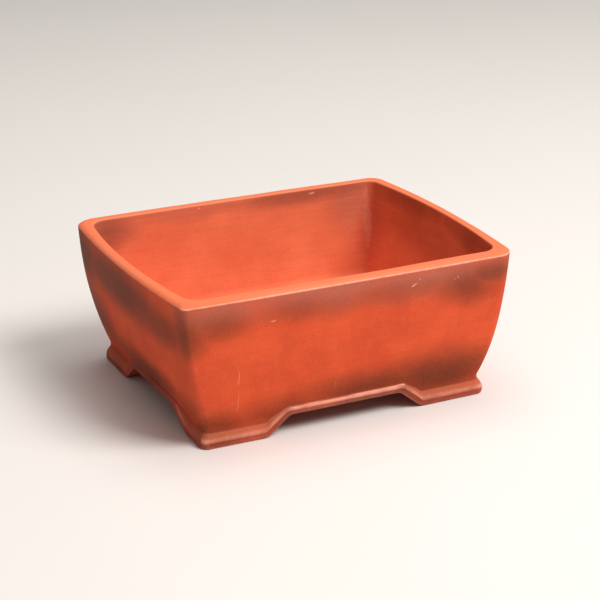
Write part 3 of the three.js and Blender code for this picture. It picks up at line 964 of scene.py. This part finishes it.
def clay_colour(n, fields, smoke_and_shade, ash, nicks_and_highlight):
    """Colour of the fired clay, with its marks and the painted highlights and shade laid over each
    other in turn.
    """
    clear_of_rim = fields["clear_of_rim"]
    patches = n.ramp(fields["clouds"], 0.34, 0.66)
    colour = n.mix(patches, *BODY_COLOURS)
    colour = n.mix(fields["inside"], colour, n.mix(patches, *INSIDE_COLOURS))
    colour = n.mix(fields["moulding"], colour, n.mix(patches, *MOULDING_COLOURS))
    colour = n.mix(n.ramp(fields["mottle"], 0.42, 0.70, 0.0, 0.12), colour, MOTTLE_COLOUR)
    colour = n.mix(n.ramp(fields["streaks"], 0.42, 0.68, 0.0, 0.07), colour, STREAK_COLOUR)
    colour = n.mix(n.product(ash, clear_of_rim, 0.80), colour, ASH_COLOUR)
    # Kiln smoke, and painted shade low on the outside walls.
    colour = n.mix(n.product(smoke_and_shade, clear_of_rim, 0.89), colour, SMOKE_AND_SHADE_COLOUR)
    # Painted highlight: outside faces that turn up, apart from the rim, are painted paler.
    top_highlight = n.product(n.ramp(fields["facing_up"], 0.25, 0.60), fields["outside"], clear_of_rim)
    colour = n.mix(n.product(top_highlight, 0.38), colour, TOP_HIGHLIGHT_COLOUR)
    # The rim's top is painted paler: clay that the kiln's smoke missed, with a painted highlight from
    # the light above.
    colour = n.mix(n.product(fields["rim"], 0.80), colour, RIM_CLEAN_AND_HIGHLIGHT_COLOUR)
    # Painted shade: creases and hollows, where the skin bends inwards, are painted darker.
    colour = n.mix(n.product(fields["hollow"], 0.45), colour, CREASE_SHADE_COLOUR)
    # Pale edges: rubbed wear, with a painted highlight strongest on faces turned to the front.
    uneven = n.ramp(fields["mottle"], 0.30, 0.60, 0.65, 1.0)
    less_inside = n.ramp(fields["inside"], 0.0, 0.5, 1.00, 0.20)
    highlit_in_front = n.ramp(fields["facing_back"], -0.05, -0.45, 0.35, 1.0)
    worn_and_highlit = n.product(fields["wear_and_highlight"], uneven, less_inside, highlit_in_front)
    colour = n.mix(worn_and_highlit, colour, WORN_AND_HIGHLIGHT_COLOUR)
    colour = n.mix(n.ramp(fields["grain"], 0.50, 0.78, 0.0, 0.20), colour, PALE_GRAIN_COLOUR)
    colour = n.mix(n.ramp(fields["grain"], 0.46, 0.24, 0.0, 0.30), colour, DARK_GRAIN_COLOUR)
    # Nicks, and the painted highlight down the inside back right corner.
    return n.mix(nicks_and_highlight, colour, NICK_AND_HIGHLIGHT_COLOUR)


def clay_relief(n, fields, nicks_and_highlight):
    """Normals of the clay's fine surface: pores, smoothing streaks, mottle, nicks and the painted
    corner highlight.
    """
    relief = n.math("MULTIPLY_ADD", fields["streaks"], 0.12, n.math("MULTIPLY", fields["pores"], 0.55))
    relief = n.math("MULTIPLY_ADD", fields["mottle"], 0.7, relief)
    relief = n.math("MULTIPLY_ADD", nicks_and_highlight, -0.8, relief)
    bump = n.new("ShaderNodeBump", {"Height": relief, "Strength": 0.55, "Distance": 0.0003})
    return bump.outputs["Normal"]


def clay(name):
    """Unglazed red clay: smoke and ash from the kiln, smoothing streaks, grain, rubbed edges.

    With painted shade low on the walls and in creases, and painted highlights on the rim, on the
    faces turned up, along the edges and down the inside back right corner.
    """
    material = bpy.data.materials.new(name)
    material.use_nodes = True
    n = Nodes(material)
    fields = clay_fields(n)
    # Kiln smoke, with painted shade low on the outside walls.
    smoke_and_shade = spot_strength(n, fields, SMOKE_AND_SHADE_OUTSIDE, SMOKE_INSIDE)
    smoke_and_shade = n.product(smoke_and_shade, n.ramp(fields["clouds"], 0.25, 0.6, 0.82, 1.0))
    ash = spot_strength(n, fields, ASH_OUTSIDE, ASH_INSIDE)
    ash = n.product(ash, n.ramp(fields["streaks"], 0.3, 0.6, 0.72, 1.0))
    wobbly = n.moved(fields["millimetres"], fields["place"], 160.0, 0.5, (4.0, 4.0, 4.0))
    # Nicks, and a painted highlight down the inside back right corner.
    nicks_and_highlight = n.spots(wobbly, NICKS_AND_HIGHLIGHT, 0.45)
    nicks_and_highlight = n.product(nicks_and_highlight, n.ramp(fields["mottle"], 0.30, 0.55, 0.30, 1.0))

    roughness = n.ramp(fields["grain"], 0.30, 0.70, 0.74, 0.90)
    roughness = n.math("MULTIPLY_ADD", smoke_and_shade, -0.12, roughness)
    roughness = n.math("MULTIPLY_ADD", fields["wear_and_highlight"], -0.10, roughness)
    shader = n.new("ShaderNodeBsdfPrincipled", {
        "Base Color": clay_colour(n, fields, smoke_and_shade, ash, nicks_and_highlight),
        "Roughness": roughness,
        "Normal": clay_relief(n, fields, nicks_and_highlight),
        "Specular IOR Level": 0.22,
    })
    n.surface(shader)
    return material


body_clay = clay("fired_clay_body")
inside_clay = clay("fired_clay_inside")
skirt_clay = clay("fired_clay_skirt")


def finish(piece, node, material):
    piece.data.materials.append(material)
    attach(piece, "root")
    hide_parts(node)


for group, stem, slot, material in (
    (walls, "wall", "clay_body", body_clay),
    (floor_coils, "floor_coil", "clay_inside", inside_clay),
    (corner_coils, "corner_coil", "clay_inside", inside_clay),
    (feet, "foot", "clay_skirt", skirt_clay),
    (aprons, "apron", "clay_skirt", skirt_clay),
):
    for place, piece in group.items():
        finish(piece, f"{stem}_{place}", material)
finish(slab, "base_slab", inside_clay)

# ---- floor, light and camera ----


def floor_sheet():
    """A wide round sheet of pale paper under the pot."""
    count, radius = 96, 9.0
    points = [(0.0, 0.0, 0.0)]
    for i in range(count):
        angle = 2 * math.pi * i / count
        points.append((radius * math.cos(angle), radius * math.sin(angle), 0.0))
    faces = [(0, 1 + i, 1 + (i + 1) % count) for i in range(count)]
    mesh = bpy.data.meshes.new("floor_sheet")
    mesh.from_pydata(points, [], faces)
    sheet = bpy.data.objects.new("floor_sheet", mesh)
    bpy.context.scene.collection.objects.link(sheet)
    material = bpy.data.materials.new("pale_paper")
    material.use_nodes = True
    n = Nodes(material)
    place = n.new("ShaderNodeTexCoord").outputs["Object"]
    colour = n.mix(n.noise(place, 3.0, 2.0), (0.80, 0.77, 0.74, 1), (0.83, 0.80, 0.77, 1))
    n.surface(n.new("ShaderNodeBsdfPrincipled", {"Base Color": colour, "Roughness": 0.9}))
    mesh.materials.append(material)
    return sheet


floor_sheet()


def softbox(name, position, target, size, power, colour):
    light = bpy.data.lights.new(name, "AREA")
    light.shape = "RECTANGLE"
    light.size, light.size_y = size
    light.energy = power
    light.color = colour
    lamp = bpy.data.objects.new(name, light)
    lamp.location = position
    aim = Vector(target) - Vector(position)
    lamp.rotation_euler = aim.to_track_quat("-Z", "Y").to_euler()
    bpy.context.scene.collection.objects.link(lamp)
    return lamp


CENTRE = (0.0, 0.0, 0.07)
softbox("key_softbox", (1.0, -1.5, 2.3), CENTRE, (1.4, 1.4), 75.0, (1.0, 0.97, 0.94))
softbox("top_softbox", (0.3, 0.3, 2.6), CENTRE, (2.0, 2.0), 30.0, (1.0, 0.98, 0.96))

world = bpy.data.worlds.new("studio")
world.use_nodes = True
background = world.node_tree.nodes["Background"]
background.inputs["Color"].default_value = (1.0, 0.96, 0.92, 1.0)
background.inputs["Strength"].default_value = 0.22
bpy.context.scene.world = world
bpy.context.scene.view_settings.view_transform = "Standard"

camera_data = bpy.data.cameras.new("camera")
camera_data.sensor_width = 36.0
camera_data.lens = 110.76
camera = bpy.data.objects.new("camera", camera_data)
camera.location = (-0.6471, -1.3228, 0.6247)
VIEW_DIRECTION = (0.41606, 0.83785, -0.35341)
camera.rotation_euler = Vector(VIEW_DIRECTION).to_track_quat("-Z", "Y").to_euler()
bpy.context.scene.collection.objects.link(camera)
bpy.context.scene.camera = camera
